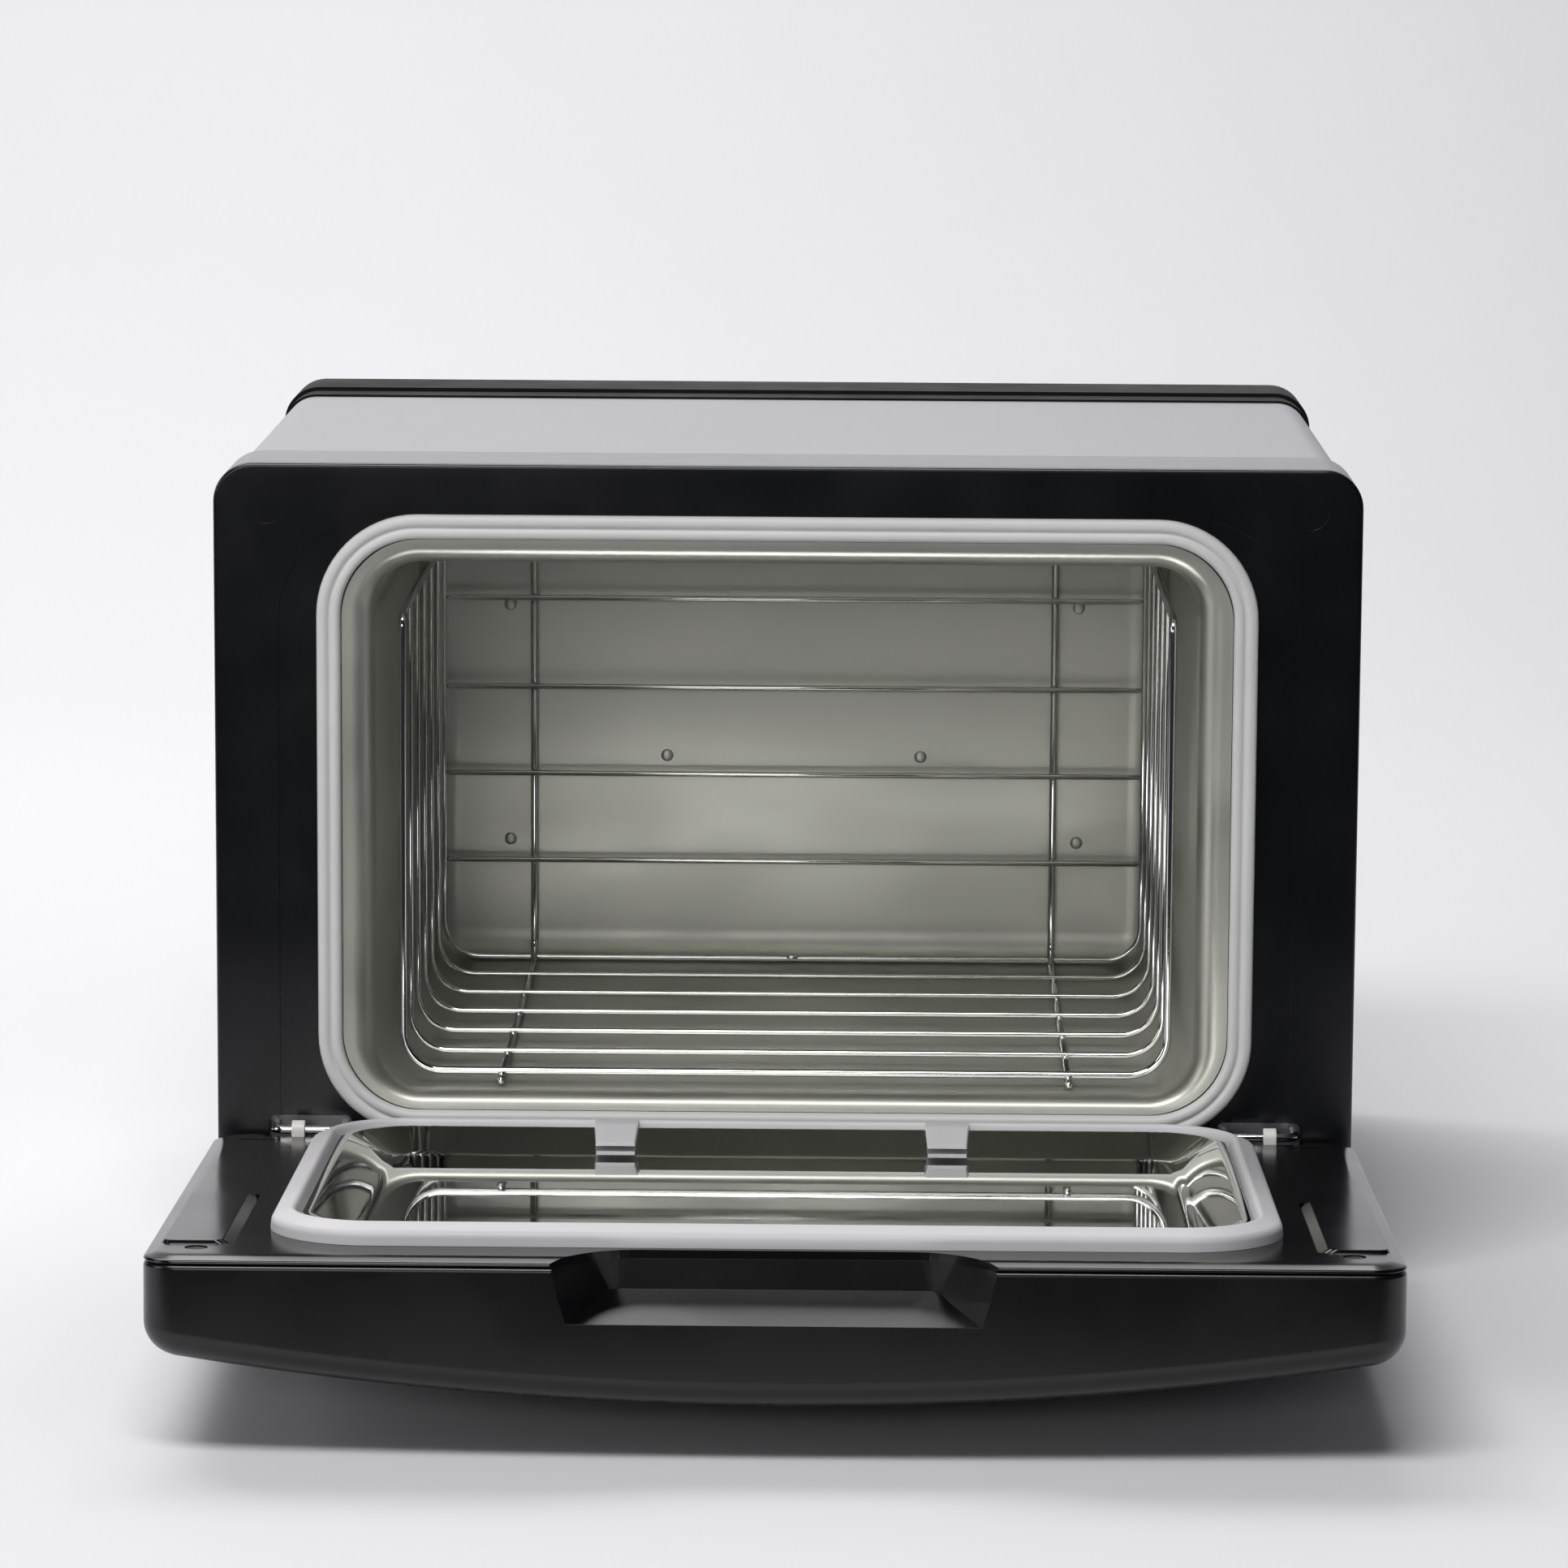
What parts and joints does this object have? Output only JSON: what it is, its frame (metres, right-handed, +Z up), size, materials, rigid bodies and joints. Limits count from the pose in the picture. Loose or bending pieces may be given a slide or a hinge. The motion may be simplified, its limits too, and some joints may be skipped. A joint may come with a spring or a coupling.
{
  "type": "hot towel cabinet",
  "caption": "Small countertop heated towel cabinet: insulated box with a drop-down door, aluminium cavity with a wire basket, silicone seals and a side power switch.",
  "frame": {"origin": "centre of the cabinet's footprint, on the surface it stands on", "axes": "+Z up, the front faces -Y, +X to the right seen from behind the door looking in"},
  "size_m": [0.35, 0.4967, 0.255],
  "materials": {
    "case_paint": "satin light grey",
    "zinc_steel": "zinc plated",
    "rim_plastic": "satin grey",
    "black_plastic": "satin black",
    "door_plastic": "semi-gloss black",
    "rear_plastic": "satin black",
    "foot_rubber": "matt",
    "liner_aluminium": "satin",
    "seal_silicone": "satin grey silicone",
    "gasket_silicone": "satin pale silicone",
    "heater_silicone": "matt",
    "glass_fibre": "fibrous",
    "ceramic": "glazed",
    "brass": "plain",
    "lead_sleeve": "woven sleeve",
    "lamp_lens": "clear red",
    "chrome_wire": "bright",
    "mirror_steel": "mirror polished",
    "magnet": "dark",
    "black_screw": "black oxide",
    "white_nylon": "natural",
    "rocker_plastic": "red"
  },
  "bodies": {
    "cabinet": {"outer_shell": "case_paint", "base_pan": "zinc_steel", "front_rim": "rim_plastic", "front_bezel": "black_plastic", "rear_cover": "rear_plastic", "feet": "foot_rubber", "cavity_liner": "liner_aluminium", "cavity_seal": "seal_silicone", "rear_bracket": "zinc_steel", "liner_rivets": "liner_aluminium", "heater_pads": "heater_silicone", "insulation_blanket": "glass_fibre", "thermostat": "ceramic", "thermal_fuse": "brass", "terminal_block": "ceramic", "wiring": "lead_sleeve", "cord_gland": "black_plastic", "switch_housing": "black_plastic", "pilot_lamp": "lamp_lens", "hinge_brackets": "zinc_steel", "hinge_staple_left": "chrome_wire", "hinge_staple_right": "chrome_wire", "catch_plates": "zinc_steel", "bracket_screws": "zinc_steel", "rear_cover_screws": "black_screw", "base_screws": "zinc_steel"},
    "basket": {"basket_front_wire": "chrome_wire", "basket_u_wires": "chrome_wire", "basket_rails": "chrome_wire", "basket_runners": "chrome_wire", "basket_back_wires": "chrome_wire"},
    "door": {"door_outer_shell": "door_plastic", "door_inner_panel": "black_plastic", "door_gasket": "gasket_silicone", "door_tray": "mirror_steel", "door_insulation": "glass_fibre", "door_magnets": "magnet", "door_screws": "black_screw", "hinge_clip_left": "white_nylon", "hinge_clip_right": "white_nylon"},
    "rocker": {"switch_rocker": "rocker_plastic"}
  },
  "joints": [
    {"name": "door_hinge", "type": "hinge", "parent": "cabinet", "child": "door", "pos_m": [0, -0.1466, 0.05], "axis": [-1, 0, 0], "range_deg": [0, 87.33]},
    {"name": "basket_slide", "type": "slide", "parent": "cabinet", "child": "basket", "axis": [0, -1, 0], "range_m": [0, 0.015]},
    {"name": "switch_rocker_turn", "type": "hinge", "parent": "cabinet", "child": "rocker", "pos_m": [0.171, 0.058, 0.0742], "axis": [0, 0, 1], "range_deg": [0, 16]}
  ]
}
